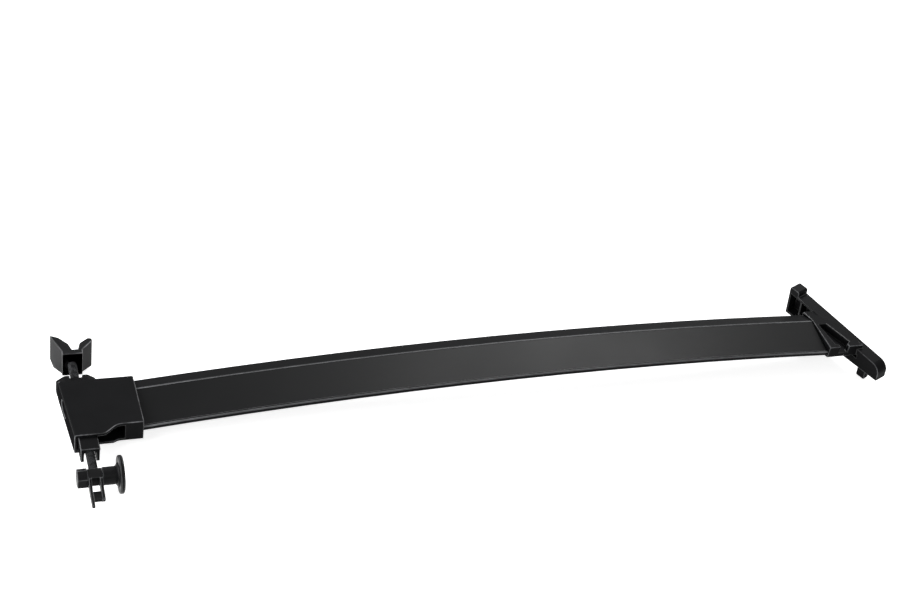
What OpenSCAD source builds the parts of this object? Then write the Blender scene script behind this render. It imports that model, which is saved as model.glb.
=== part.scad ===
// Arched roof rack crossbar. A hollow bar runs from a clamp foot to a long end plate.
// The foot carries a draw rod with a wing knob at its far end and a clevis with a round disc at its near end.
// X runs along the bar from the foot to the end plate, Y along the vehicle and Z up.
// The origin is the middle of the lower face of the foot pad, on the centre line of the bar.

/* [Bar] */
// Free length of the bar between the sleeve mouth and the collar
bar_span = 900; // [700:10:1100]
// Width of the bar
bar_w = 76; // [72:1:80]
// Depth of the bar from its top face to its flat underside
bar_t = 16; // [15:0.5:20]
// Rise of the arch over the free length
bar_sag = 15.7; // [10:0.1:24]
// Height of the top face where the bar leaves the foot
bar_z_foot = 32; // [31:0.5:33]
// Height of the top face where the bar meets the end collar
bar_z_end = 49; // [47:0.5:51]
// Wall of the hollow bar
bar_wall = 2; // [1.6:0.1:2.6]
// Thickness of the centre web of the bar
bar_web = 4; // [2.5:0.1:5]
// Drop of the near edge below the ridge
near_drop = 7; // [5:0.1:8]
// Width of the near lip beside the inlay
near_lip_w = 3.4; // [2.5:0.1:5]
// Height of the upright near edge
near_edge_h = 5.4; // [4:0.1:6]
// Bevel on the top corner of the near edge
near_edge_bevel = 0.8; // [0.3:0.1:1.2]
// Width of the narrow ridge on the far side of the inlay
ridge_w = 1.2; // [0.8:0.1:2]
// Width of the narrow face beyond the ridge
far_bevel_w = 17; // [14:0.5:20]
// Drop of the narrow face to the far edge
far_bevel_drop = 2.5; // [1.5:0.1:3.5]
// Height of the upright far edge
far_edge_h = 5.4; // [4:0.1:6]
// Width of the flat underside
under_flat_w = 36; // [30:1:38]
// Depth of the recess for the inlay
inlay_recess = 1.8; // [1:0.1:2.2]
// Thickness of the inlay
inlay_t = 1.4; // [0.8:0.1:1.6]
// Side gap of the inlay
inlay_gap = 0.3; // [0.1:0.05:0.5]

/* [Foot housing] */
// Length of the foot along the bar
foot_l = 78.4; // [76:0.2:86]
// Distance from the bar centre to the far wall of the foot
foot_far_y = 40.5; // [40:0.5:44]
// Turn of the outer end of the foot from square
outer_yaw = 4.1; // [0:0.1:6]
// Radius of the long far top edge
far_edge_r = 3; // [1:0.5:4]
// Distance from the bar centre to the near face of the sleeve
sleeve_near_y = 41.6; // [40:0.2:44]
// Distance from the bar centre to the near edge of the flared end
flare_near_y = 54.8; // [50:0.2:58]
// Length of the flared end along the bar
flare_l = 30.6; // [29:0.2:34]
// Length of the bend between the flare and the sleeve
flare_bend_l = 22.4; // [14:0.2:24]
// Wall over the bar at the sleeve mouth
sleeve_wall = 4; // [3.5:0.5:5]
// Height of the underside of the housing
foot_base_z = 10.5; // [9:0.5:10.5]
// Thickness of the top panel
panel_t = 4; // [3:0.25:4]
// Radius of the long outer top edge
outer_edge_r = 2.5; // [1.5:0.5:4]
// Thickness of the outer end wall
outer_wall = 3.5; // [3:0.5:4]
// Thickness of the far wall
far_wall = 4.5; // [3.5:0.5:6]
// Length of the solid sleeve block
sleeve_l = 20.6; // [19:0.2:26]
// Depth of the bar in the sleeve
bar_insert = 17; // [14:0.5:18]
// Clearance around the bar in the sleeve and the collar
bar_fit = 0.3; // [0.1:0.05:0.5]
// Length of the access slot in the outer end wall
slot_l = 24; // [16:1:28]
// Height of the access slot
slot_h = 13; // [8:0.5:13]
// Distance of the access slot beyond the bar centre
slot_y = 6; // [0:1:12]
// Thickness of the floor of the foot
foot_floor_t = 3.2; // [2:0.1:3.5]

/* [Foot pad] */
// Length of the rubber pad
pad_l = 50; // [40:1:50]
// Width of the rubber pad
pad_w = 54; // [40:1:56]
// Distance of the pad from the outer end of the foot
pad_in = 14; // [8:0.5:16]
// Width of the grooves under the pad
pad_groove = 2.4; // [1:0.2:3]
// Depth of the grooves under the pad
pad_groove_h = 1.5; // [0.5:0.1:2]
// Number of the grooves under the pad
pad_grooves = 4; // [2:1:5]

/* [Draw rod and jaws] */
// Distance of the rod axis from the outer end of the foot
rod_x_in = 15.9; // [15.5:0.1:17]
// Height of the rod axis
rod_z = 23; // [22.5:0.5:24]
// Diameter of the draw rod
rod_d = 10; // [8:1:10]
// Running gap around the rod on the radius
rod_run = 0.08; // [0.03:0.01:0.1]
// Free gap around the rod in the open arch
rod_gap = 1.5; // [1:0.25:2]
// Width of the near jaw
near_jaw_w = 20.5; // [19:0.5:21]
// Reach of the near jaw beyond the flared edge
near_jaw_reach = 19.2; // [14:0.2:24]
// Depth of the near jaw inside the foot
near_jaw_in = 8; // [6:1:12]
// Seat gap above and below the near jaw
jaw_gap = 0.15; // [0.1:0.05:0.3]
// Width of the far jaw
far_jaw_w = 44; // [36:0.5:45]
// Thickness of the far jaw
far_jaw_t = 12; // [10:0.5:14]
// Top of the far jaw above the rod axis
far_jaw_up = 10; // [7:0.5:11]
// Underside of the far jaw below the rod axis
far_jaw_down = 10.5; // [8:0.5:12]
// Width of each sloping shoulder of the far jaw
shoulder_w = 9; // [4:0.5:11]
// Drop of each sloping shoulder of the far jaw
shoulder_drop = 6; // [3:0.5:8]
// Free rod between the far jaw and the knob
knob_reach = 30.3; // [24:0.1:40]
// Free rod between the near jaw and the clevis
clevis_reach = 27.5; // [20:0.5:32]

/* [Wing knob] */
// Width between the front corners of the wings
wing_root_w = 20.6; // [20:0.2:24]
// Width of the flat middle of the front
knob_front_w = 12.4; // [10:0.2:14]
// Setback of the front corners of the wings
wing_root_back = 4.4; // [2:0.2:6]
// Reach of the left wing from the rod axis
left_reach = 21.6; // [18:0.2:26]
// Reach of the right wing from the rod axis
right_reach = 25.4; // [18:0.2:27]
// Depth of the left wing from the front to its tip
left_sweep = 35; // [26:0.5:38]
// Depth of the right wing from the front to its tip
right_sweep = 26.5; // [24:0.5:36]
// Width of the wing at its tip
wing_tip_w = 9; // [6:0.5:10]
// Height of the wings
wing_h = 34; // [30:1:35]
// Cut of the lower back corner of each wing
wing_chamfer = 6; // [4:0.5:10]
// Shift of the gap between the wings from the rod axis
gap_shift = 4; // [0:0.2:4]
// Width of the gap between the wings at its bottom
gap_low_w = 6.8; // [5:0.2:8]
// Width of the gap between the wings half way up
gap_mid_w = 12.4; // [10:0.2:14]
// Height of the half way place over the bottom of the gap
gap_mid_l = 10.4; // [8:0.2:12]
// Distance of the bottom of the gap from the front
web_back = 8.2; // [8:0.1:9]
// Depth of the hollow in the front
hollow_l = 5.5; // [3:0.25:5.5]
// Wall over and under the hollow
hollow_wall = 3; // [2:0.25:4]
// Width of the hollow
hollow_w = 15; // [13:0.5:15]
// Diameter of the hub in the hollow
knob_hub_d = 18.6; // [18:0.2:19]
// Setback of the hub behind the front
knob_hub_back = 0.6; // [0.4:0.1:1]
// Width across flats of the captive nut
knob_nut_af = 15; // [14:0.5:15]
// Depth of the captive nut
knob_nut_t = 5.2; // [4:0.1:5.2]
// Diameter of the round clearance for the rod stop
stop_bore = 14; // [13:0.5:15]
// Free play between the nut and the rod stop
stop_gap = 1.5; // [0.5:0.1:3]
// Diameter of the rod stop
stop_d = 12.5; // [12:0.5:14]
// Thickness of the rod stop
stop_t = 1.6; // [1:0.1:3]

/* [Clevis] */
// Width of the clevis across its cheeks
clevis_w = 15; // [14:0.5:16]
// Length of the clevis block
clevis_block_l = 14.5; // [14:0.5:16]
// Height of the clevis block
clevis_h = 12.5; // [12:0.5:15]
// Thickness of each cheek
cheek_t = 3.2; // [2.6:0.1:3.6]
// Length of the long cheek beyond the block
cheek_long = 32; // [26:1:36]
// Length of the short cheek beyond the block
cheek_short = 23; // [20:1:25]
// Height of the cheeks at their tips
cheek_tip_h = 5.5; // [5:0.5:8]
// Drop of the cheeks below the block
cheek_drop = 3; // [0:0.5:4]
// Length of the window between the cheeks
window_l = 10; // [8:0.5:12]
// Depth of the rod in the clevis block
rod_in_clevis = 2.8; // [2:0.1:2.8]

/* [Cross bolt] */
// Distance of the cross bolt from the far face of the clevis block
cross_back = 7.2; // [7:0.1:7.5]
// Diameter of the cross bolt
cross_d = 8; // [7:0.5:8]
// Running gap around the cross bolt on the radius
cross_run = 0.08; // [0.03:0.01:0.1]
// Width across flats of the cross bolt head
cross_head_af = 19; // [16:0.5:20]
// Length of the cross bolt head
cross_head_l = 11; // [7:0.5:12]
// Gap between the bolt and the pieces that it carries on the radius
seat_run = 0.06; // [0.03:0.01:0.1]
// Side gap between turning faces
side_gap = 0.3; // [0.2:0.05:0.5]
// Diameter of the spacer
spacer_d = 19.8; // [16:0.2:21]
// Length of the spacer
spacer_l = 16.8; // [14:0.2:20]
// Diameter of the disc
disc_d = 42; // [36:0.2:44]
// Thickness of the disc rim
disc_t = 5; // [4:0.5:6]
// Depth of the dish in the outer face of the disc
disc_dish = 1.5; // [0.5:0.1:2]
// Width of the raised rim of the disc
disc_rim = 5; // [3:0.5:6]
// Diameter of the peened end of the cross bolt
peen_d = 13; // [11:0.5:15]
// Height of the peened end of the cross bolt
peen_h = 2.4; // [1:0.1:3]

/* [End casting] */
// Turn of the end plate from square
plate_yaw = 16.8; // [12:0.2:20]
// Lean of the end plate, top towards the bar
plate_lean = 10.1; // [6:0.1:12]
// Distance of the middle of the plate from the collar
plate_x = 46.4; // [43:0.2:48]
// Distance of the middle of the plate beyond the bar centre
plate_y = 6.8; // [4:0.2:10]
// Length of the end plate
plate_l = 169; // [150:0.2:180]
// Thickness of the end plate
plate_t = 17.3; // [16:0.1:19]
// Top of the plate above the bar
plate_rise = 2; // [1.5:0.5:4]
// Height of the end plate
plate_h = 31; // [28:0.5:33]
// Wall of the end plate
plate_wall = 3.5; // [2.5:0.5:4]
// Fall of the top edge from the far end to the near end
plate_fall = 16; // [8:0.5:18]
// Start of the pocket from the middle of the plate
pocket_from = 43; // [43:0.5:48]
// Distance from the far end of the plate to the rib
rib_end = 23.5; // [18:0.5:26]
// Thickness of the rib in the pocket
plate_rib = 2.5; // [2:0.5:4]
// Corner radius of the near end of the plate
plate_near_r = 14; // [8:0.5:15]
// Length of the raised nose
nose_l = 16.5; // [12:0.5:18]
// Top of the raised nose over the datum of the plate
nose_h = 14.5; // [10:0.5:16]
// Corner radius of the raised nose
nose_r = 3; // [1:0.5:3.5]
// Wall of the collar around the bar
collar_wall = 2; // [1.6:0.1:2.6]
// Rise of the collar over the ridge of the bar
collar_rise = 1.3; // [1:0.1:2]
// Lead of the near corner of the collar
collar_lead = 0.8; // [0.4:0.2:4]
// Lag of the far part of the collar
collar_lag = 6.8; // [0:0.2:7]
// Length of the collar
collar_l = 11; // [9:1:14]
// Depth of the bar in the collar
collar_insert = 9; // [5:0.5:9]
// Depth of the recess in the top of the neck
neck_recess = 10; // [6:0.5:11]
// Far end of the recess in the neck
recess_far_y = 11; // [8:0.5:20]
// Near wall of the recess in the neck
neck_wall = 6.5; // [4:0.5:7]
// Width of the far end of the recess in the neck
recess_w = 12; // [8:0.2:13]
// Growth of the recess towards its near end
recess_splay = 12; // [4:0.5:13]
// Distance of the near notch from the collar
notch_x = 16; // [14:0.5:18]
// Width of the near notch
notch_w = 13; // [10:0.5:15]
// Length of the shoe under the bar
shoe_l = 34; // [30:1:40]
// Width of the shoe under the bar
shoe_w = 26; // [22:1:28]
// Thickness of the shoe under the bar
shoe_t = 4; // [3:0.5:5]
// Length of each locating tab
tab_l = 13.5; // [10:0.5:18]
// Thickness of each locating tab
tab_t = 9; // [7:0.5:10]
// Distance of each tab from the outer face of the plate
tab_out = 2.5; // [2:0.5:5]
// Reach of each locating tab below the plate
tab_h = 18.7; // [12:0.1:18.7]
// Depth of each tab in the plate
tab_in = 2.5; // [1.5:0.5:3]
// Distance from the end of the plate to the middle of each tab
tab_end = 30; // [25:0.5:38]
// Thickness of the rail pad
rail_pad_t = 2; // [1.5:0.25:3]
// Margin of the rail pad inside the plate edge
rail_pad_in = 5; // [5:0.5:8]

/* [Screws and plugs] */
// Thread diameter of the bar screws
screw_d = 6; // [5:0.5:6]
// Head diameter of the bar screws
screw_head_d = 11; // [9:0.5:11]
// Head height of the bar screws
screw_head_h = 3; // [2:0.25:3]
// Distance of the bar screws from the bar centre
screw_y = 9; // [8:0.25:9.5]
// Depth of the screws in the plugs
screw_bite = 7; // [5:0.5:7]
// Play of the screws in their holes
screw_play = 0.4; // [0.2:0.1:0.8]
// Play around the screw heads
head_play = 0.6; // [0.4:0.1:1]
// Gap around the screw threads in the plugs on the diameter
thread_gap = 0.1; // [0.06:0.02:0.2]
// Depth of the spotfaces under the shoe
spot_h = 0.6; // [0.4:0.1:1]
// Length of the plugs in the bar
plug_l = 40; // [38:1:50]
// Gap around the plugs in the bar
plug_gap = 0.25; // [0.15:0.05:0.4]

/* [Hidden] */
$fn = 64;
eps = 0.01;
flare_steps = 12;
far_edge_over = 0.3;
edge_steps = 8;
slot_steps = 16;

// Foot places
pad_x0 = -pad_l / 2;
foot_x = pad_x0 - pad_in;
mouth_x = foot_x + foot_l;
panel_z = bar_z_foot + sleeve_wall;
rod_x = foot_x + rod_x_in;
beam_x0 = mouth_x - bar_insert;
cavity_x1 = mouth_x - sleeve_l;
cavity_z0 = foot_base_z + foot_floor_t;
cavity_z1 = panel_z - panel_t;
cavity_y1 = foot_far_y - far_wall;
near_jaw_y0 = -flare_near_y - near_jaw_reach;
near_jaw_y1 = -flare_near_y + near_jaw_in;
far_jaw_y0 = foot_far_y + jaw_gap;
far_jaw_y1 = far_jaw_y0 + far_jaw_t;
knob_y = far_jaw_y1 + knob_reach;
web_y = knob_y + web_back;
clevis_y1 = near_jaw_y0 - clevis_reach;
clevis_y0 = clevis_y1 - clevis_block_l;
cross_y = clevis_y1 - cross_back;
spacer_x0 = rod_x + clevis_w / 2 + side_gap;
disc_x0 = spacer_x0 + spacer_l;
rod_y0 = clevis_y1 - rod_in_clevis;
rod_y1 = web_y + stop_gap;
function cavity_out(y) = foot_x - outer_edge_r + outer_wall - y * tan(outer_yaw);

// Arc of the bar
bar_rise = bar_z_end - bar_z_foot;
chord = sqrt(bar_span * bar_span + bar_rise * bar_rise);
chord_tilt = atan(bar_rise / bar_span);
arc_r = (chord * chord / 4 + bar_sag * bar_sag) / (2 * bar_sag);
arc_x = mouth_x + bar_span / 2 + sin(chord_tilt) * (arc_r - bar_sag);
arc_z = (bar_z_foot + bar_z_end) / 2 - cos(chord_tilt) * (arc_r - bar_sag);
arc_fn = 1800;
function arc_angle(x) = acos((x - arc_x) / arc_r);
function arc_top(x) = arc_z + sqrt(arc_r * arc_r - (x - arc_x) * (x - arc_x));
function arc_slope(x) = 90 - arc_angle(x);

// End places
collar_x = mouth_x + bar_span;
beam_x1 = collar_x + collar_insert;
neck_y = bar_w / 2 + collar_wall;
neck_z0 = bar_z_end - bar_t - collar_wall - 0.5;
neck_z1 = bar_z_end + collar_rise;
plate_slope = plate_fall / plate_l;
tab_place = plate_l / 2 - tab_end;
rib_place = plate_l / 2 - rib_end;

// Height of the pitched main face over the ridge, at a distance across the bar
ridge_y = bar_w / 2 - far_bevel_w;
face_pitch = near_drop / (bar_w - far_bevel_w);
under_y = bar_w / 2 - 8;
function face_z(y) = (y - ridge_y) * face_pitch;

// Outline of the bar, grown by c. First value is the distance across, second the height over the ridge.
function bar_outline(c) = [
    [-bar_w / 2 - c, -near_drop - near_edge_h],
    [-bar_w / 2 - c, -near_drop - near_edge_bevel],
    [-bar_w / 2 + near_edge_bevel, face_z(-bar_w / 2 + near_edge_bevel) + c],
    [ridge_y, c],
    [bar_w / 2 + c, -far_bevel_drop + c],
    [bar_w / 2 + c, -far_bevel_drop - far_edge_h],
    [under_flat_w / 2 + 8, -bar_t + 1.6 - c],
    [under_flat_w / 2, -bar_t - c],
    [-under_flat_w / 2, -bar_t - c],
    [-under_y, -bar_t + 1.4 - c]
];

// Chambers inside the bar, shrunk by c
function near_chamber(c) = [
    [-bar_w / 2 + 6 + c, face_z(-bar_w / 2 + 6) - inlay_recess - bar_wall - c],
    [-bar_web / 2 - c, face_z(-bar_web / 2) - inlay_recess - bar_wall - c],
    [-bar_web / 2 - c, -bar_t + bar_wall + c],
    [-under_flat_w / 2 + 0.6 + c / 2, -bar_t + bar_wall + c],
    [-under_y + 0.2 + c / 2, -bar_t + 1.6 + bar_wall + c],
    [-bar_w / 2 + 6 + c, -bar_t + 2.1 + bar_wall + c]
];
function far_chamber(c) = [
    [bar_web / 2 + c, face_z(bar_web / 2) - inlay_recess - bar_wall - c],
    [ridge_y - bar_wall - c, face_z(ridge_y - bar_wall) - inlay_recess - bar_wall - c],
    [bar_w / 2 - bar_wall - 1 - c, -far_bevel_drop - bar_wall - c],
    [bar_w / 2 - bar_wall - 1 - c, -far_bevel_drop - far_edge_h + 0.8 + c],
    [under_flat_w / 2 + 7.2 - c, -bar_t + 1.6 + bar_wall - 0.2 + c],
    [under_flat_w / 2 - 0.2 - c, -bar_t + bar_wall + c],
    [bar_web / 2 + c, -bar_t + bar_wall + c]
];

// Band along the main face between two distances across, from a depth below the face upwards
function face_band(y0, y1, low, high) = [
    [y0, face_z(y0) - low],
    [y1, face_z(y1) - low],
    [y1, face_z(y1) + high],
    [y0, face_z(y0) + high]
];

// Sweeps an outline along the arc between two places on X
module along_arc(x0, x1) {
    translate([arc_x, 0, arc_z])
        rotate([90, 0, 0])
            rotate_extrude(angle = arc_angle(x0) - arc_angle(x1), start = arc_angle(x1), $fn = arc_fn)
                translate([arc_r, 0])
                    rotate(-90)
                        children();
}

// Outline of the bar with the recess for the inlay and both chambers
module bar_section() {
    difference() {
        polygon(bar_outline(0));
        polygon(face_band(-bar_w / 2 + near_lip_w, ridge_y - ridge_w, inlay_recess, 1));
        polygon(near_chamber(0));
        polygon(far_chamber(0));
    }
}

// Round stock along X, Y or Z
module rod_along_x(d, l) {
    rotate([0, 90, 0])
        cylinder(d = d, h = l);
}

module rod_along_y(d, l) {
    rotate([-90, 0, 0])
        cylinder(d = d, h = l);
}

// Hollow arched bar with holes for the fixing screws
module crossbar_beam() {
    color("#1b1c1e")
        difference() {
            along_arc(beam_x0, beam_x1)
                bar_section();
            for (side = [-1, 1]) {
                at_foot_screw(side)
                    cylinder(d = screw_d + screw_play, h = bar_t / 2);
                at_end_screw(side)
                    cylinder(d = screw_d + screw_play, h = bar_t / 2);
            }
        }
}

// Long inlay in the top face
module top_inlay() {
    color("#232426")
        along_arc(beam_x0, beam_x1)
            polygon(face_band(
                -bar_w / 2 + near_lip_w + inlay_gap,
                ridge_y - ridge_w - inlay_gap,
                inlay_recess,
                inlay_t - inlay_recess
            ));
}

// Places of the screws under the sleeve and under the shoe
foot_screw_x = mouth_x - bar_insert / 2;
end_screw_x = collar_x - shoe_l / 2;

module at_foot_screw(side) {
    translate([foot_screw_x, side * screw_y, foot_base_z + screw_head_h])
        children();
}

module at_end_screw(side) {
    translate([end_screw_x, side * screw_y, arc_top(end_screw_x) - bar_t - shoe_t + spot_h])
        rotate([0, arc_slope(end_screw_x), 0])
            children();
}

// Outline of the foot seen from above. The near edge swings out to the flare in one smooth bend.
function foot_outline() = concat(
    [
        [foot_x - 20, -flare_near_y],
        [foot_x - 20, foot_far_y],
        [mouth_x, foot_far_y],
        [mouth_x, -sleeve_near_y]
    ],
    [for (i = [0:flare_steps])
        [
            foot_x + flare_l + flare_bend_l * (1 - i / flare_steps),
            -sleeve_near_y - (flare_near_y - sleeve_near_y) * (1 - cos(180 * i / flare_steps)) / 2
        ]
    ]
);

// Outline of the foot seen from the near side, with its rounded outer top edge
function foot_profile() = concat(
    [
        [foot_l + 20, panel_z],
        [foot_l + 20, foot_base_z],
        [-outer_edge_r, foot_base_z]
    ],
    [for (i = [0:edge_steps])
        [
            -outer_edge_r * cos(90 * i / edge_steps),
            panel_z - outer_edge_r * (1 - sin(90 * i / edge_steps))
        ]
    ]
);

// Outline of the foot seen along the bar, with its rounded far top edge
function foot_across() = concat(
    [
        [-flare_near_y - 5, panel_z + 2],
        [-flare_near_y - 5, foot_base_z - 2],
        [foot_far_y, foot_base_z - 2]
    ],
    [for (i = [0:edge_steps])
        [
            foot_far_y - far_edge_r * (1 - cos(90 * i / edge_steps)),
            panel_z + far_edge_over - far_edge_r * (1 - sin(90 * i / edge_steps))
        ]
    ],
    [[foot_far_y - far_edge_r, panel_z + 2]]
);

// Outline of the access slot with its round ends
function slot_outline() = concat(
    [for (i = [0:slot_steps])
        [
            (slot_l - slot_h) / 2 + slot_h / 2 * sin(180 * i / slot_steps),
            slot_h / 2 * cos(180 * i / slot_steps)
        ]
    ],
    [for (i = [0:slot_steps])
        [
            -(slot_l - slot_h) / 2 - slot_h / 2 * sin(180 * i / slot_steps),
            -slot_h / 2 * cos(180 * i / slot_steps)
        ]
    ]
);

// Solid form of the foot before it is hollowed. Its outer end is turned a little.
module foot_body() {
    intersection() {
        translate([0, 0, foot_base_z - 1])
            linear_extrude(height = panel_z - foot_base_z + 2)
                polygon(foot_outline());
        translate([foot_x, 0, 0])
            rotate([0, 0, outer_yaw])
                translate([0, foot_far_y + 15, 0])
                    rotate([90, 0, 0])
                        linear_extrude(height = foot_far_y + flare_near_y + 30)
                            polygon(foot_profile());
        translate([foot_x - 30, 0, 0])
            rotate([90, 0, 90])
                linear_extrude(height = foot_l + 60)
                    polygon(foot_across());
    }
}

// Cast housing with the bar sleeve, the rod cavity and the access slot
module foot_housing() {
    slot_z = (foot_base_z + panel_z) / 2;
    slot_x = foot_x - outer_edge_r - 4;
    color("#202123")
        difference() {
            foot_body();
            // Socket for the bar
            along_arc(beam_x0 - bar_fit, mouth_x + 5)
                polygon(bar_outline(bar_fit));
            // Rod cavity, open on the near side, with the slant of the outer end
            translate([0, 0, cavity_z0])
                linear_extrude(height = cavity_z1 - cavity_z0)
                    polygon([
                        [cavity_out(-flare_near_y - 2), -flare_near_y - 2],
                        [cavity_x1, -flare_near_y - 2],
                        [cavity_x1, cavity_y1],
                        [cavity_out(cavity_y1), cavity_y1]
                    ]);
            // Floor cut back beside the flare
            translate([foot_x + flare_l - 1, -flare_near_y - 2, foot_base_z - 1])
                cube([mouth_x, flare_near_y + 2 - sleeve_near_y - 3, foot_floor_t + 2]);
            // Rod hole in the far wall
            translate([rod_x, cavity_y1 - 1, rod_z])
                rod_along_y(rod_d + 2 * rod_run, foot_far_y - cavity_y1 + 3);
            // Access slot in the outer end wall
            translate([slot_x, slot_y, slot_z])
                rotate([90, 0, 90])
                    linear_extrude(height = outer_wall + 7)
                        polygon(slot_outline());
            // Counterbored screw holes under the sleeve
            for (side = [-1, 1])
                at_foot_screw(side) {
                    translate([0, 0, -screw_head_h - 1])
                        cylinder(d = screw_head_d + head_play, h = screw_head_h + 1);
                    cylinder(d = screw_d + screw_play, h = 8);
                }
        }
}

// Rubber pad under the foot
module foot_pad() {
    groove_step = pad_w / (pad_grooves + 1);
    color("#18181a")
        difference() {
            translate([pad_x0, -pad_w / 2, 0])
                cube([pad_l, pad_w, foot_base_z]);
            for (i = [1:pad_grooves])
                translate([pad_x0 - 1, -pad_w / 2 + i * groove_step - pad_groove / 2, -1])
                    cube([pad_l + 2, pad_groove, pad_groove_h + 1]);
        }
}

// Block in the foot end of the bar that takes the screws
module foot_plug() {
    color("#2c2d30")
        difference() {
            along_arc(beam_x0, beam_x0 + plug_l)
                union() {
                    polygon(near_chamber(plug_gap));
                    polygon(far_chamber(plug_gap));
                }
            for (side = [-1, 1])
                at_foot_screw(side)
                    cylinder(d = screw_d + thread_gap, h = screw_bite + 4);
        }
}

// Screws that hold the bar in the sleeve
module foot_screws() {
    color("#3a3b3d")
        for (side = [-1, 1])
            at_foot_screw(side) {
                translate([0, 0, -screw_head_h])
                    cylinder(d = screw_head_d, h = screw_head_h);
                cylinder(d = screw_d, h = screw_bite + 3);
            }
}

// Near jaw, an inverted U that straddles the rod
module near_jaw() {
    z0 = cavity_z0 + jaw_gap;
    z1 = cavity_z1 - jaw_gap;
    color("#242527")
        difference() {
            translate([rod_x - near_jaw_w / 2, near_jaw_y0, z0])
                cube([near_jaw_w, near_jaw_y1 - near_jaw_y0, z1 - z0]);
            translate([rod_x, near_jaw_y0 - 1, rod_z])
                rod_along_y(rod_d + 2 * rod_gap, near_jaw_y1 - near_jaw_y0 + 2);
            translate([rod_x - rod_d / 2 - rod_gap, near_jaw_y0 - 1, z0 - 1])
                cube([rod_d + 2 * rod_gap, near_jaw_y1 - near_jaw_y0 + 2, rod_z - z0 + 1]);
        }
}

// Far jaw with sloping shoulders and the rod hole
module far_jaw() {
    low = rod_z - far_jaw_down;
    top = rod_z + far_jaw_up;
    half = far_jaw_w / 2;
    color("#242527")
        difference() {
            translate([rod_x, far_jaw_y0 + far_jaw_t, 0])
                rotate([90, 0, 0])
                    linear_extrude(height = far_jaw_t)
                        polygon([
                            [-half, low],
                            [half, low],
                            [half, top - shoulder_drop],
                            [half - shoulder_w, top],
                            [-half + shoulder_w, top],
                            [-half, top - shoulder_drop]
                        ]);
            translate([rod_x, far_jaw_y0 - 1, rod_z])
                rod_along_y(rod_d + 2 * rod_run, far_jaw_t + 2);
            // Relief on each side of the rod hole
            for (side = [-1, 1])
                translate([rod_x + side * (rod_d / 2 + 7.5) - 3, far_jaw_y0 + 4, low - 1])
                    cube([6, far_jaw_t, 8]);
        }
}

// Draw rod through the foot
module draw_rod() {
    color("#4a4b4e")
        translate([rod_x, rod_y0, rod_z])
            rod_along_y(rod_d, rod_y1 - rod_y0);
}

// Stop on the end of the rod that keeps the nut from running off
module rod_stop() {
    color("#55575a")
        translate([rod_x, rod_y1, rod_z])
            rod_along_y(stop_d, stop_t);
}

// Outline of the knob seen from above, from its front to the tips of both wings
function knob_outline() = [
    [-wing_root_w / 2, wing_root_back],
    [-knob_front_w / 2, 0],
    [knob_front_w / 2, 0],
    [wing_root_w / 2, wing_root_back],
    [right_reach, right_sweep - 6],
    [right_reach - 1, right_sweep - 1],
    [right_reach - wing_tip_w / 2, right_sweep],
    [gap_shift + gap_mid_w / 2, web_back + gap_mid_l],
    [gap_shift + gap_low_w / 2, web_back],
    [gap_shift - gap_low_w / 2, web_back],
    [gap_shift - gap_mid_w / 2, web_back + gap_mid_l],
    [-left_reach + wing_tip_w, left_sweep - wing_tip_w / 2],
    [-left_reach, left_sweep]
];

// Wedge that cuts the lower back corner of a wing
module wing_cut(x, y) {
    translate([rod_x + x - 15, knob_y + y, rod_z - wing_h / 2])
        rotate([0, 90, 0])
            linear_extrude(height = 30)
                polygon([
                    [1, -wing_chamfer - 1],
                    [-wing_chamfer - 1, 1],
                    [1, 1]
                ]);
}

// Wing knob with a hollow front, a hub for the nut and a gap between its wings
module wing_knob() {
    color("#27282a")
        difference() {
            translate([rod_x, knob_y, rod_z - wing_h / 2])
                linear_extrude(height = wing_h)
                    polygon(knob_outline());
            // Hollow front around the hub
            difference() {
                translate([rod_x - hollow_w / 2, knob_y - 1, rod_z - wing_h / 2 + hollow_wall])
                    cube([hollow_w, hollow_l + 1, wing_h - 2 * hollow_wall]);
                translate([rod_x, knob_y + knob_hub_back, rod_z])
                    rod_along_y(knob_hub_d, hollow_l + 1);
            }
            // Pocket of the captive nut, open at the front
            translate([rod_x, knob_y - 1, rod_z])
                rotate([-90, 0, 0])
                    cylinder(d = (knob_nut_af + 0.1) / cos(30), h = knob_hub_back + knob_nut_t + 1, $fn = 6);
            translate([rod_x, knob_y - 1, rod_z])
                rod_along_y(rod_d + 1, web_back + 2);
            // Round clearance of the rod stop between the wings
            translate([rod_x, web_y, rod_z])
                rod_along_y(stop_bore, left_sweep);
            wing_cut(-left_reach, left_sweep);
            wing_cut(right_reach, right_sweep);
        }
}

// Captive nut of the knob
module knob_nut() {
    color("#6a6c70")
        difference() {
            translate([rod_x, knob_y + knob_hub_back, rod_z])
                rotate([-90, 0, 0])
                    cylinder(d = knob_nut_af / cos(30), h = knob_nut_t, $fn = 6);
            translate([rod_x, knob_y - 1, rod_z])
                rod_along_y(rod_d + 2 * rod_run, knob_nut_t + 3);
        }
}

// Side outline of a cheek, from the block to its tip
module cheek_plate(reach) {
    low = rod_z - clevis_h / 2 - cheek_drop;
    rotate([90, 0, 90])
        linear_extrude(height = cheek_t)
            polygon([
                [clevis_y0 + clevis_block_l - 2, rod_z + clevis_h / 2],
                [clevis_y0 + clevis_block_l - 2, rod_z - clevis_h / 2],
                [clevis_y0, low],
                [clevis_y0 - reach + 2, low],
                [clevis_y0 - reach, low + 2],
                [clevis_y0 - reach, low + cheek_tip_h - 1],
                [clevis_y0 - reach + 1, low + cheek_tip_h],
                [clevis_y0 - window_l, low + cheek_tip_h + 3],
                [clevis_y0 - 1, rod_z + clevis_h / 2]
            ]);
}

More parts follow.
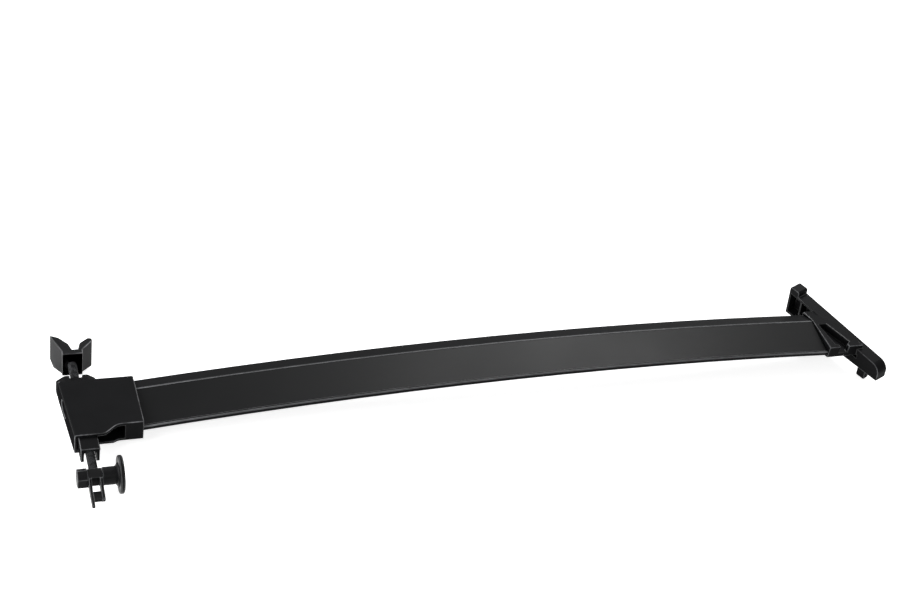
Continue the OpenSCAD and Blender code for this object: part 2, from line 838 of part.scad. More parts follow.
// Clevis with a solid block, two cheeks and a cross piece
module clevis() {
    color("#2b2c2e")
        difference() {
            union() {
                translate([rod_x - clevis_w / 2, clevis_y0, rod_z - clevis_h / 2])
                    cube([clevis_w, clevis_block_l, clevis_h]);
                translate([rod_x - clevis_w / 2, 0, 0])
                    cheek_plate(cheek_long);
                translate([rod_x + clevis_w / 2 - cheek_t, 0, 0])
                    cheek_plate(cheek_short);
                translate([rod_x - clevis_w / 2 + 1, clevis_y0 - cheek_short + 1, rod_z - clevis_h / 2 - cheek_drop + 0.5])
                    cube([clevis_w - 2, cheek_short - window_l - 1, cheek_tip_h - 1]);
            }
            // Socket of the rod
            translate([rod_x, rod_y0 - 0.3, rod_z])
                rod_along_y(rod_d + 2 * rod_run, rod_in_clevis + 2);
            // Bore of the cross bolt
            translate([rod_x - clevis_w / 2 - 1, cross_y, rod_z])
                rod_along_x(cross_d + 2 * cross_run, clevis_w + 2);
        }
}

// Cross bolt with its head, plain shank and peened end
module cross_bolt() {
    head_x1 = rod_x - clevis_w / 2 - side_gap;
    color("#303133") {
        translate([head_x1 - cross_head_l, cross_y, rod_z])
            rotate([0, 90, 0])
                cylinder(d = cross_head_af / cos(30), h = cross_head_l, $fn = 6);
        translate([head_x1 - 1, cross_y, rod_z])
            rod_along_x(cross_d, disc_x0 + disc_t - disc_dish - head_x1 + 2);
        translate([disc_x0 + disc_t - disc_dish, cross_y, rod_z])
            rod_along_x(peen_d, peen_h);
    }
}

// Spacer between the clevis and the disc
module spacer() {
    color("#2b2c2e")
        difference() {
            translate([spacer_x0, cross_y, rod_z])
                rod_along_x(spacer_d, spacer_l);
            translate([spacer_x0 - 1, cross_y, rod_z])
                rod_along_x(cross_d + 2 * seat_run, spacer_l + 2);
        }
}

// Round disc with a raised rim on its outer face
module disc() {
    color("#2b2c2e")
        difference() {
            translate([disc_x0, cross_y, rod_z])
                rotate([0, 90, 0])
                    rotate_extrude($fn = 96)
                        polygon([
                            [cross_d / 2 + seat_run, 0],
                            [disc_d / 2 - 1, 0],
                            [disc_d / 2, 1],
                            [disc_d / 2, disc_t - 1],
                            [disc_d / 2 - 1, disc_t],
                            [disc_d / 2 - disc_rim, disc_t],
                            [disc_d / 2 - disc_rim - 1, disc_t - disc_dish],
                            [cross_d / 2 + seat_run, disc_t - disc_dish]
                        ]);
        }
}

// Moves to the plate frame at the middle of the outer top edge. There X points out, Y far and Z up the plate.
module at_plate() {
    translate([collar_x + plate_x, plate_y, bar_z_end + plate_rise])
        rotate([0, 0, plate_yaw])
            rotate([0, -plate_lean, 0])
                children();
}

// Side outline of the end plate with its falling top edge and rounded near end
module plate_side(inset) {
    half = plate_l / 2;
    r = plate_near_r;
    mid_z = -plate_slope * (half - r) - r;
    polygon(concat(
        [[-half + inset, -plate_h + inset]],
        [for (i = [0:edge_steps])
            [
                -half + r - (r - inset) * cos(90 * i / edge_steps),
                mid_z + (r - inset) * sin(90 * i / edge_steps)
            ]
        ],
        [
            [half - inset, plate_slope * (half - inset) - inset],
            [half - inset, -plate_h + inset]
        ]
    ));
}

// Raised nose at the far end of the plate
module plate_nose() {
    translate([-plate_t, plate_l / 2 - nose_l, 0])
        cube([plate_t, nose_l, nose_h - nose_r]);
    translate([-plate_t, plate_l / 2 - nose_l + nose_r, 0])
        cube([plate_t, nose_l - 2 * nose_r, nose_h]);
    for (end = [nose_r, nose_l - nose_r])
        translate([-plate_t, plate_l / 2 - end, nose_h - nose_r])
            rod_along_x(2 * nose_r, plate_t);
}

// One casting of collar, neck, end plate and shoe
module end_casting() {
    color("#222325")
        difference() {
            union() {
                at_plate() {
                    translate([-plate_t, 0, 0])
                        rotate([90, 0, 90])
                            linear_extrude(height = plate_t)
                                plate_side(0);
                    plate_nose();
                }
                neck();
            }
            // Bevel under the near side of the neck
            translate([collar_x - collar_lead - 1, 0, 0])
                rotate([90, 0, 90])
                    linear_extrude(height = 60)
                        polygon([
                            [-neck_y - 1, neck_z0 - 1],
                            [-neck_y + 16, neck_z0 - 1],
                            [-neck_y - 1, neck_z0 + 4]
                        ]);
            // Socket for the bar in the collar
            along_arc(collar_x - 60, beam_x1 + bar_fit)
                polygon(bar_outline(bar_fit));
            // Pocket of the plate beyond the neck, open towards the bar
            at_plate()
                difference() {
                    translate([-plate_t - 1, 0, 0])
                        rotate([90, 0, 90])
                            linear_extrude(height = plate_t + 1 - plate_wall)
                                plate_side(plate_wall);
                    translate([-plate_t - 2, -plate_l, -plate_h - 1])
                        cube([plate_t + 3, plate_l + pocket_from, 2 * plate_h]);
                    translate([-plate_t - 2, rib_place - plate_rib / 2, -plate_h - 1])
                        cube([plate_t + 3, plate_rib, 2 * plate_h]);
                }
            // Recess in the top of the neck
            neck_pocket();
            // Slots for the locating tabs
            for (side = [-1, 1])
                at_plate()
                    translate([-tab_out - tab_t - 0.1, side * tab_place - tab_l / 2 - 0.1, -plate_h - 1])
                        cube([tab_t + 0.2, tab_l + 0.2, tab_in + 1.1]);
            // Spotfaces and holes of the screws under the shoe
            for (side = [-1, 1])
                at_end_screw(side) {
                    translate([0, 0, -screw_head_h - 20])
                        cylinder(d = screw_head_d + head_play, h = screw_head_h + 20);
                    translate([0, 0, -5])
                        cylinder(d = screw_d + screw_play, h = 20);
                }
        }
}

// Distance of the outer face of the plate along X, at a distance across the bar
function plate_face(y) = collar_x + plate_x - (y - plate_y) * tan(plate_yaw);

// Neck from the collar to the plate and the shoe under the bar
module neck() {
    translate([0, 0, neck_z0])
        linear_extrude(height = neck_z1 - neck_z0)
            polygon([
                [collar_x - collar_lead, -neck_y],
                [plate_face(-neck_y) - 9, -neck_y],
                [plate_face(neck_y) - 9, neck_y],
                [collar_x + collar_lag / 2, neck_y],
                [collar_x + collar_lag, neck_y / 2]
            ]);
    along_arc(collar_x - shoe_l, collar_x + 10)
        translate([-shoe_w / 2, -bar_t - shoe_t])
            square([shoe_w, shoe_t]);
}

// Recess in the top of the neck with the notch that opens it on the near side
module neck_pocket() {
    x0 = collar_x + collar_l;
    y0 = -neck_y + neck_wall;
    translate([0, 0, neck_z1 - neck_recess])
        linear_extrude(height = neck_recess + 1)
            polygon([
                [x0, recess_far_y],
                [x0, y0],
                [collar_x + notch_x, y0 - 1],
                [collar_x + notch_x, -neck_y - 1],
                [collar_x + notch_x + notch_w, -neck_y - 1],
                [collar_x + notch_x + notch_w, y0 - 1],
                [x0 + recess_w + recess_splay, y0 + 4],
                [x0 + recess_w, recess_far_y]
            ]);
}

// Block in the collar end of the bar that takes the screws
module end_plug() {
    color("#2c2d30")
        difference() {
            along_arc(beam_x1 - plug_l, beam_x1)
                union() {
                    polygon(near_chamber(plug_gap));
                    polygon(far_chamber(plug_gap));
                }
            for (side = [-1, 1])
                at_end_screw(side)
                    cylinder(d = screw_d + thread_gap, h = screw_bite + shoe_t + 1);
        }
}

// Screws that hold the bar to the shoe
module end_screws() {
    color("#3a3b3d")
        for (side = [-1, 1])
            at_end_screw(side) {
                translate([0, 0, -screw_head_h])
                    cylinder(d = screw_head_d, h = screw_head_h);
                cylinder(d = screw_d, h = screw_bite + shoe_t);
            }
}

// Rubber pad on the outer face of the end plate
module rail_pad() {
    color("#18181a")
        at_plate()
            rotate([90, 0, 90])
                linear_extrude(height = rail_pad_t)
                    plate_side(rail_pad_in);
}

// Locating tabs under the end plate
module locating_tab(side) {
    color("#2b2c2e")
        at_plate()
            translate([-tab_out - tab_t, side * tab_place - tab_l / 2, -plate_h - tab_h])
                cube([tab_t, tab_l, tab_h + tab_in]);
}

module near_tab() {
    locating_tab(-1);
}

module far_tab() {
    locating_tab(1);
}

crossbar_beam();
top_inlay();
foot_housing();
foot_pad();
foot_plug();
foot_screws();
near_jaw();
far_jaw();
draw_rod();
rod_stop();
wing_knob();
knob_nut();
clevis();
cross_bolt();
spacer();
disc();
end_casting();
end_plug();
end_screws();
rail_pad();
near_tab();
far_tab();
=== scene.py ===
"""Roof rack crossbar: finishes, small details, studio light and the camera of the photograph."""

import math

import bmesh
import bpy
from mathutils import Matrix, Vector


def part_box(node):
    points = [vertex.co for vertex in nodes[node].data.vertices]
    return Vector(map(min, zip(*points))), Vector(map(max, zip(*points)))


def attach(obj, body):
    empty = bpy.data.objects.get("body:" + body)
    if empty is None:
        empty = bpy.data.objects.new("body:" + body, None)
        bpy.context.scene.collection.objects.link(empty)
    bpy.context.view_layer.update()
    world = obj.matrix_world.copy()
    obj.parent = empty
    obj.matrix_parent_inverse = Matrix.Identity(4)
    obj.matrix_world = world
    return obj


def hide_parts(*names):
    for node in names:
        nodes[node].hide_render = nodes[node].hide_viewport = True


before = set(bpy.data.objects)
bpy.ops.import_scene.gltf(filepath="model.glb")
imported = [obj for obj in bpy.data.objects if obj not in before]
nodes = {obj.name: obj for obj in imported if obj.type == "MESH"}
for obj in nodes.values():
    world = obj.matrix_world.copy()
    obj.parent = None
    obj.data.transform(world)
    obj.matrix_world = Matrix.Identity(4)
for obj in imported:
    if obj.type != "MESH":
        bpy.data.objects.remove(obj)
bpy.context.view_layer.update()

# Camera of the photograph: place in metres and its right, down and forward directions
CAMERA_AT = Vector((-0.1964, -1.2671, 1.1181))
CAMERA_RIGHT = Vector((0.9327, -0.3229, 0.1609))
CAMERA_DOWN = Vector((-0.0666, -0.5923, -0.8029))
CAMERA_FORWARD = Vector((0.3546, 0.7381, -0.5739))

# Its lens and the width of its sensor in mm, and how far it sees in metres
CAMERA_LENS = 56.81
CAMERA_SENSOR = 36.0
CAMERA_SIGHT = 50.0

# Studio
WHITE = (1.0, 1.0, 1.0, 1.0)
PART_MIDDLE = Vector((0.49, 0.0, 0.03))
FLOOR_SIZE = 40.0
FLOOR_DROP = 0.0005
FLOOR_COLOUR = (0.86, 0.86, 0.86)
FLOOR_ROUGHNESS = 0.95
FLOOR_GLOW = 0.80
SKY_LIGHT = 0.22

# Softboxes: name, direction from the part, distance, width and height in metres, power in watts
SOFTBOXES = (
    ("key_softbox", (0.39, 0.50, 0.77), 2.6, 1.0, 1.0, 52.0),
    ("left_softbox", (-0.93, -0.10, 0.35), 1.45, 1.3, 1.0, 20.0),
    ("front_softbox", (0.1, -0.75, 0.65), 2.8, 1.6, 0.8, 6.0),
)

# Gloss of the finishes
BAR_GLOSS = 0.028
INLAY_GLOSS = 0.064
CAST_GLOSS = 0.024
RUBBER_GLOSS = 0.03
STEEL_GLOSS = 0.060
KNOB_GLOSS = 0.05
HOLLOW_GLOSS = 0.03
EDGE_GLOSS = 0.20

# How far towards a grazing view, as a share, the gloss of the flat coats starts to fade and is gone
CALM_FROM = 0.60
CALM_FULL = 0.84

# Places of the two colours and the result on a colour mix node
MIX_FIRST = 6
MIX_SECOND = 7
MIX_RESULT = 2

# Widths of the rounded edges in metres
CAST_EDGES = {
    "foot_housing": 0.0009,
    "end_casting": 0.0009,
    "near_jaw": 0.0008,
    "near_tab": 0.0010,
    "far_tab": 0.0010,
    "foot_pad": 0.0008,
    "rail_pad": 0.0006,
}
STEEL_EDGES = {
    "clevis": 0.0006,
    "cross_bolt": 0.0006,
    "disc": 0.0005,
    "spacer": 0.0005,
}
BAR_EDGE = 0.0005
KNOB_EDGE = 0.0009
FAR_JAW_EDGE = 0.0012

# Angles in degrees from which an edge is rounded, and below which faces count as one
EDGE_ANGLE = 30.0
FLAT_ANGLE = 0.5
BAR_EDGE_ANGLE = 10.0
BAR_FLAT_ANGLE = 0.05

# Distance below which corners are one, and reach of a cutting tool past the face that it cuts
SAME_PLACE = 0.000002
CUT_OVER = 0.001
TOOL_SIDES = 48

# Draw rod thread, with its profile as share of the pitch and share of the depth
THREAD_PITCH = 0.0015
THREAD_DEPTH = 0.0007
THREAD_SIDES = 24
THREAD_PROFILE = ((0.0, 1.0), (0.15, 1.0), (0.5, 0.0), (0.65, 0.0))

# Knob seen from above, in mm from the rod and from the knob's front: across, back, down and up
MM_PER_M = 1000
KNOB_OUTLINE = (
    (-11.1, 0.0, 15.0, 17.0),
    (12.0, 0.0, 15.5, 17.0),
    (12.2, 6.6, 17.5, 17.0),
    (25.2, 20.6, 20.5, 18.0),
    (25.4, 23.0, 18.5, 18.2),
    (24.4, 25.5, 15.0, 18.2),
    (20.9, 26.5, 15.0, 18.0),
    (10.2, 18.6, 17.0, 17.2),
    (7.4, 8.2, 17.0, 17.0),
    (0.6, 8.2, 17.0, 17.0),
    (-2.2, 18.6, 17.0, 17.2),
    (-12.6, 30.5, 15.5, 18.6),
    (-21.6, 34.9, 15.5, 19.0),
    (-18.4, 25.7, 22.4, 18.2),
    (-11.1, 6.6, 17.0, 17.0),
)

# Front of the knob from the rod's axis, and the walls around its hollow
FRONT_LEFT = 0.0111
FRONT_RIGHT = 0.0120
FRONT_DOWN = 0.015
FRONT_UP = 0.017
SIDE_WALL = 0.0011
TOP_WALL = 0.0028
BOTTOM_WALL = TOP_WALL / 2
HOLLOW_MORE = 0.0008

# Play of the rod and of its stop in the knob
ROD_PLAY = 0.0005
STOP_GAP = 0.00150
STOP_PLAY = 0.00075

# A face this near to the hollow is one of its walls and gets its painted shade
WALL_NEAR = 0.0001

# Cone between the spacer and the disc, with its tip and bore inside the spacer's surface,
# and with a share of its length sunk in the disc
FLARE_L = 0.0035
FLARE_RISE = 0.0040
FLARE_TIP_IN = 0.0002
FLARE_BORE_IN = 0.001
FLARE_SINK = 0.04
FLARE_SIDES = 48

# Notch between the lugs of the far jaw
JAW_NOTCH = 0.014
JAW_BRIDGE = 0.003
JAW_OVER_ROD = 0.0012


# Materials
class Finish:
    """A procedural material around one Principled shader."""

    def __init__(self, name):
        self.material = bpy.data.materials.new(name)
        self.material.use_nodes = True
        self.tree = self.material.node_tree
        self.shader = self.tree.nodes["Principled BSDF"]
        self.place = self.add("ShaderNodeTexCoord").outputs["Object"]

    def add(self, kind, **values):
        """Adds a shader node and sets its values."""
        made = self.tree.nodes.new(kind)
        for key, value in values.items():
            setattr(made, key, value)
        return made

    def link(self, source, target):
        self.tree.links.new(source, target)

    def stretched(self, scale):
        """Object coordinates stretched by a scale on each axis."""
        mapping = self.add("ShaderNodeMapping")
        mapping.inputs["Scale"].default_value = scale
        self.link(self.place, mapping.inputs["Vector"])
        return mapping.outputs["Vector"]

    def noise(self, scale, detail=3.0, roughness=0.5, vector=None):
        """Clouds or flecks, finer with a larger scale."""
        made = self.add("ShaderNodeTexNoise")
        made.inputs["Scale"].default_value = scale
        made.inputs["Detail"].default_value = detail
        made.inputs["Roughness"].default_value = roughness
        self.link(vector or self.place, made.inputs["Vector"])
        return made.outputs["Fac"]

    def grain(self, scale):
        """Cells of a textured surface."""
        made = self.add("ShaderNodeTexVoronoi")
        made.inputs["Scale"].default_value = scale
        self.link(self.place, made.inputs["Vector"])
        return made.outputs["Distance"]

    def spread(self, value, low=0.0, high=1.0, start=0.3, end=0.7):
        """Maps a texture value from start..end to low..high."""
        made = self.add("ShaderNodeMapRange")
        made.inputs["From Min"].default_value = start
        made.inputs["From Max"].default_value = end
        made.inputs["To Min"].default_value = low
        made.inputs["To Max"].default_value = high
        self.link(value, made.inputs["Value"])
        return made.outputs["Result"]

    def times(self, first, second):
        """Product of a socket with a number or another socket."""
        made = self.add("ShaderNodeMath", operation="MULTIPLY")
        self.link(first, made.inputs[0])
        if isinstance(second, float):
            made.inputs[1].default_value = second
        else:
            self.link(second, made.inputs[1])
        return made.outputs["Value"]

    def mixed(self, factor, first, second):
        """Colour between first and second. Each is a colour or a socket."""
        made = self.add("ShaderNodeMix", data_type="RGBA")
        self.link(factor, made.inputs["Factor"])
        for value, socket in ((first, made.inputs[MIX_FIRST]), (second, made.inputs[MIX_SECOND])):
            if isinstance(value, tuple):
                socket.default_value = (*value, 1.0)
            else:
                self.link(value, socket)
        return made.outputs[MIX_RESULT]

    def bump(self, height, distance, strength, after=None):
        """Relief of a texture, on top of another normal where one is given."""
        made = self.add("ShaderNodeBump")
        made.inputs["Distance"].default_value = distance
        made.inputs["Strength"].default_value = strength
        self.link(height, made.inputs["Height"])
        if after:
            self.link(after, made.inputs["Normal"])
        return made.outputs["Normal"]

    def rounded(self, radius):
        """Normal that is softened along every edge."""
        made = self.add("ShaderNodeBevel", samples=4)
        made.inputs["Radius"].default_value = radius
        return made.outputs["Normal"]

    def edge(self, radius, flat_from):
        """1 on the edges, 0 on the faces, where the softened normal agrees with the true one."""
        geometry = self.add("ShaderNodeNewGeometry")
        agreement = self.add("ShaderNodeVectorMath", operation="DOT_PRODUCT")
        self.link(self.rounded(radius), agreement.inputs[0])
        self.link(geometry.outputs["Normal"], agreement.inputs[1])
        return self.spread(agreement.outputs["Value"], 1.0, 0.0, start=flat_from, end=1.0)

    def set(self, colour, roughness, normal=None, **constants):
        """Fills the shader and gives the finished material."""
        for socket, value in (("Base Color", colour), ("Roughness", roughness), ("Normal", normal)):
            if value is None:
                continue
            if isinstance(value, tuple):
                self.shader.inputs[socket].default_value = (*value, 1.0)
            elif isinstance(value, float):
                self.shader.inputs[socket].default_value = value
            else:
                self.link(value, self.shader.inputs[socket])
        for key, value in constants.items():
            self.shader.inputs[key.replace("_", " ")].default_value = value
        return self.material

    def calm(self, level):
        """Gloss that fades out where a face is seen at a low angle, as on a fine matt texture."""
        facing = self.add("ShaderNodeLayerWeight").outputs["Facing"]
        gloss = self.spread(facing, level, 0.0, start=CALM_FROM, end=CALM_FULL)
        self.link(gloss, self.shader.inputs["Specular IOR Level"])


def extruded_black():
    """Satin black coat on the extrusion, with faint draw lines along its length."""
    coat = Finish("extruded_black")
    lines = coat.noise(1.0, 4.0, 0.6, coat.stretched((3.0, 900.0, 900.0)))
    cloud = coat.noise(9.0, 2.0)
    fleck = coat.noise(2600.0, 2.0)
    colour = coat.mixed(coat.spread(lines), (0.0055, 0.0057, 0.0061), (0.0080, 0.0082, 0.0088))
    normal = coat.bump(lines, 0.00002, 0.35, coat.rounded(0.0004))
    normal = coat.bump(fleck, 0.00002, 0.35, normal)
    coat.calm(BAR_GLOSS)
    roughness = coat.spread(cloud, 0.33, 0.40)
    return coat.set(colour, roughness, normal, IOR=1.5, Specular_IOR_Level=BAR_GLOSS)


def inlay_black():
    """Smooth satin inlay of the top face."""
    coat = Finish("inlay_black")
    cloud = coat.noise(7.0, 2.0)
    fleck = coat.noise(3200.0, 2.0)
    lines = coat.noise(1.0, 3.0, 0.6, coat.stretched((2.0, 500.0, 500.0)))
    colour = coat.mixed(coat.spread(cloud), (0.0058, 0.0060, 0.0063), (0.0075, 0.0077, 0.0081))
    normal = coat.bump(lines, 0.00001, 0.3, coat.rounded(0.0003))
    normal = coat.bump(fleck, 0.00002, 0.4, normal)
    coat.calm(INLAY_GLOSS)
    roughness = coat.spread(cloud, 0.36, 0.42)
    return coat.set(colour, roughness, normal, IOR=1.48, Specular_IOR_Level=INLAY_GLOSS)


def cast_black():
    """Finely textured black powder coat on a casting."""
    coat = Finish("cast_black")
    skin = coat.grain(950.0)
    fine = coat.noise(1700.0, 3.0, 0.6)
    cloud = coat.noise(14.0)
    colour = coat.mixed(coat.spread(cloud), (0.0055, 0.0056, 0.0060), (0.0082, 0.0084, 0.0090))
    normal = coat.bump(skin, 0.00007, 0.40, coat.rounded(0.0007))
    normal = coat.bump(fine, 0.00005, 0.35, normal)
    coat.calm(CAST_GLOSS)
    roughness = coat.spread(fine, 0.40, 0.52)
    return coat.set(colour, roughness, normal, IOR=1.5, Specular_IOR_Level=CAST_GLOSS)


def rubber_black():
    """Matt black rubber with a dry bloom."""
    coat = Finish("rubber_black")
    pores = coat.noise(1500.0, 4.0, 0.7)
    cloud = coat.noise(25.0, 4.0, 0.65)
    colour = coat.mixed(coat.spread(cloud), (0.0060, 0.0060, 0.0063), (0.0120, 0.0120, 0.0124))
    normal = coat.bump(pores, 0.00008, 0.5, coat.rounded(0.0006))
    roughness = coat.spread(cloud, 0.60, 0.75)
    return coat.set(colour, roughness, normal, IOR=1.46, Specular_IOR_Level=RUBBER_GLOSS)


def steel_black():
    """Black finish on turned and pressed steel."""
    coat = Finish("steel_black")
    fine = coat.noise(1300.0, 3.0, 0.6)
    cloud = coat.noise(60.0)
    colour = coat.mixed(coat.spread(cloud), (0.0032, 0.0033, 0.0036), (0.0062, 0.0064, 0.0068))
    normal = coat.bump(fine, 0.00005, 0.4, coat.rounded(0.0006))
    roughness = coat.spread(cloud, 0.28, 0.40)
    return coat.set(colour, roughness, normal, IOR=1.55, Specular_IOR_Level=STEEL_GLOSS)


def painted_edge_highlight(name, least, highlight_colour):
    """Painted highlight on the rounded edges: a lighter, smoother coat, broken unevenly down to a least
    share.
    """
    coat = Finish(name)
    broken = coat.noise(70.0, 4.0, 0.7)
    fine = coat.noise(900.0, 3.0, 0.6)
    pointiness = coat.add("ShaderNodeNewGeometry").outputs["Pointiness"]
    proud = coat.spread(pointiness, start=0.50, end=0.54)
    highlight_share = coat.times(coat.spread(broken, least, 1.0, start=0.38, end=0.66), proud)
    # Painted highlight: the proud edges go from the dark coat towards a lighter colour
    colour = coat.mixed(highlight_share, (0.0060, 0.0062, 0.0066), highlight_colour)
    normal = coat.bump(fine, 0.00003, 0.3)
    roughness = coat.spread(fine, 0.26, 0.36)
    return coat.set(colour, roughness, normal, IOR=1.5, Specular_IOR_Level=EDGE_GLOSS)


def painted_shade_hollow():
    """Painted shade inside the knob, where hardly any light reaches: a darker colour for its hollow and
    the captive nut.
    """
    coat = Finish("painted_shade_hollow")
    cloud = coat.noise(60.0)
    skin = coat.grain(1400.0)
    colour = coat.mixed(coat.spread(cloud), (0.0016, 0.0016, 0.0018), (0.0030, 0.0030, 0.0032))
    normal = coat.bump(skin, 0.00006, 0.4)
    roughness = coat.spread(cloud, 0.60, 0.75)
    return coat.set(colour, roughness, normal, IOR=1.45, Specular_IOR_Level=HOLLOW_GLOSS)


def thread_steel():
    """Dark plated thread, with a painted highlight on its crests."""
    coat = Finish("thread_steel")
    cloud = coat.noise(180.0)
    # Painted highlight: the crests of the thread are coloured much lighter than the plate
    crest_highlight = coat.spread(coat.edge(0.0003, flat_from=0.85), 0.0, 0.3, start=0.1, end=0.9)
    plate = coat.mixed(coat.spread(cloud), (0.010, 0.0103, 0.0110), (0.026, 0.0266, 0.0280))
    colour = coat.mixed(crest_highlight, plate, (0.260, 0.263, 0.270))
    normal = coat.bump(cloud, 0.00003, 0.3, coat.rounded(0.0002))
    roughness = coat.spread(cloud, 0.22, 0.36)
    return coat.set(colour, roughness, normal, Metallic=0.6, IOR=1.55, Specular_IOR_Level=STEEL_GLOSS)


def knob_plastic():
    """Moulded black plastic with a light erosion texture."""
    coat = Finish("knob_plastic")
    skin = coat.grain(1400.0)
    cloud = coat.noise(30.0)
    colour = coat.mixed(coat.spread(cloud), (0.0080, 0.0082, 0.0086), (0.0115, 0.0118, 0.0123))
    normal = coat.bump(skin, 0.00006, 0.4, coat.rounded(0.0007))
    roughness = coat.spread(cloud, 0.38, 0.48)
    return coat.set(colour, roughness, normal, IOR=1.49, Specular_IOR_Level=KNOB_GLOSS)


def zinc_steel():
    """Dark zinc coat on the screws."""
    coat = Finish("zinc_steel")
    crystal = coat.grain(700.0)
    cloud = coat.noise(90.0)
    colour = coat.mixed(coat.spread(cloud), (0.10, 0.104, 0.108), (0.17, 0.175, 0.18))
    normal = coat.bump(crystal, 0.00004, 0.3, coat.rounded(0.0004))
    return coat.set(colour, coat.spread(cloud, 0.30, 0.45), normal, Metallic=1.0)


def dress_nodes():
    """Gives each CAD node its finish."""
    finishes = {
        extruded_black(): ["crossbar_beam"],
        inlay_black(): ["top_inlay"],
        cast_black(): ["foot_housing", "near_jaw", "far_jaw", "end_casting"],
        rubber_black(): ["foot_pad", "rail_pad", "near_tab", "far_tab", "foot_plug", "end_plug"],
        steel_black(): ["clevis", "cross_bolt", "spacer", "disc", "rod_stop"],
        # The captive nut wears the painted shade of the knob's hollow
        painted_shade_hollow(): ["knob_nut"],
        knob_plastic(): ["wing_knob"],
        thread_steel(): ["draw_rod"],
        zinc_steel(): ["foot_screws", "end_screws"],
    }
    for finish, names in finishes.items():
        for name in names:
            mesh = nodes[name].data
            mesh.materials.clear()
            mesh.materials.append(finish)


def finish_of(node):
    """Finish that a CAD node wears."""
    return nodes[node].data.materials[0]


# Shapes
def soften(part, width, highlight_finish=None, angle=EDGE_ANGLE, flat_angle=FLAT_ANGLE):
    """Rounds the sharp edges of a part by a width, with a painted highlight on them where a highlight
    finish is given.
    """
    if highlight_finish:
        part.data.materials.append(highlight_finish)
    weld = part.modifiers.new("weld", "WELD")
    weld.merge_threshold = SAME_PLACE
    flat = part.modifiers.new("flat", "DECIMATE")
    flat.decimate_type = "DISSOLVE"
    flat.angle_limit = math.radians(flat_angle)
    bevel = part.modifiers.new("edges", "BEVEL")
    bevel.width = width
    bevel.segments = 2
    bevel.limit_method = "ANGLE"
    bevel.angle_limit = math.radians(angle)
    bevel.use_clamp_overlap = False
    # The bevel faces take the painted highlight finish, where one is given
    bevel.material = len(part.data.materials) - 1 if highlight_finish else -1
    normals = part.modifiers.new("normals", "WEIGHTED_NORMAL")
    normals.keep_sharp = True


def rod_axis():
    """Place of the draw rod's axis along X and Z, and the rod's radius."""
    low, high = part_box("draw_rod")
    return (low[0] + high[0]) / 2, (low[2] + high[2]) / 2, (high[0] - low[0]) / 2


def placed(name, made):
    """Object from a bmesh."""
    mesh = bpy.data.meshes.new(name)
    made.to_mesh(mesh)
    made.free()
    thing = bpy.data.objects.new(name, mesh)
    bpy.context.scene.collection.objects.link(thing)
    return thing


def new_piece(name, made, finish, body, smooth=False):
    """Object from a bmesh, with its finish, body and material slot."""
    bmesh.ops.recalc_face_normals(made, faces=made.faces)
    piece = placed(name, made)
    piece.data.materials.append(finish)
    for face in piece.data.polygons:
        face.use_smooth = smooth
    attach(piece, body)
    return piece


def rings_around(made, outline, corner, sides):
    """Ring of corners around an axis for each place along it and radius of an outline."""
    turns = [2 * math.pi * side / sides for side in range(sides)]
    rings = []
    for along, radius in outline:
        rings.append([made.verts.new(corner(along, radius * math.cos(turn), radius * math.sin(turn)))
                      for turn in turns])
    return rings


def join_rings(made, first, second):
    """Faces between two rings."""
    for side in range(len(first)):
        following = (side + 1) % len(first)
        made.faces.new((first[side], first[following], second[following], second[side]))


def block(name, low, high):
    """Plain box used as a tool for a cut."""
    made = bmesh.new()
    bmesh.ops.create_cube(made, size=1.0)
    for vertex in made.verts:
        for axis in range(3):
            vertex.co[axis] = high[axis] if vertex.co[axis] > 0 else low[axis]
    return placed(name, made)


def rod_shaped(name, x, z, radius, front, back):
    """Round tool along the rod."""
    made = bmesh.new()
    outline = ((front, radius), (back, radius))
    rings = rings_around(made, outline, lambda along, across, up: (x + across, along, z + up), TOOL_SIDES)
    join_rings(made, *rings)
    for ring in rings:
        made.faces.new(ring)
    bmesh.ops.recalc_face_normals(made, faces=made.faces)
    return placed(name, made)


def cut(piece, tool):
    """Cuts a tool out of a piece and removes the tool."""
    step = piece.modifiers.new("cut", "BOOLEAN")
    step.operation = "DIFFERENCE"
    step.solver = "EXACT"
    step.object = tool
    seen = bpy.context.evaluated_depsgraph_get()
    mesh = bpy.data.meshes.new_from_object(piece.evaluated_get(seen))
    piece.modifiers.clear()
    piece.data = mesh
    bpy.data.objects.remove(tool)


def threaded_rod():
    """Draw rod with its helical thread."""
    low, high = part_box("draw_rod")
    x, z, crest = rod_axis()
    turns = math.ceil((high[1] - low[1]) / THREAD_PITCH) + 1
    made = bmesh.new()
    rows = []
    for turn in range(-1, turns + 1):
        for share, depth in THREAD_PROFILE:
            radius = crest - depth * THREAD_DEPTH
            row = []
            for side in range(THREAD_SIDES):
                around = side / THREAD_SIDES
                y = low[1] + (turn + share + around) * THREAD_PITCH
                y = min(max(y, low[1]), high[1])
                angle = 2 * math.pi * around
                row.append(made.verts.new((x + radius * math.cos(angle), y, z + radius * math.sin(angle))))
            rows.append(row)
    step = len(THREAD_PROFILE)
    for place in range(len(rows) - 1):
        row, following = rows[place], rows[place + 1]
        for side in range(THREAD_SIDES - 1):
            made.faces.new((row[side], row[side + 1], following[side + 1], following[side]))
        # The end of a turn meets the start of the next one, a pitch further on
        if place + 1 + step < len(rows):
            made.faces.new((row[-1], rows[place + step][0], rows[place + 1 + step][0], following[-1]))
    bmesh.ops.remove_doubles(made, verts=made.verts, dist=SAME_PLACE)
    bmesh.ops.dissolve_degenerate(made, edges=made.edges, dist=SAME_PLACE)
    loose = [vertex for vertex in made.verts if not vertex.link_faces]
    bmesh.ops.delete(made, geom=loose, context="VERTS")
    bmesh.ops.holes_fill(made, edges=made.edges, sides=0)
    piece = new_piece("threaded_rod", made, finish_of("draw_rod"), "rod")
    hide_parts("draw_rod")


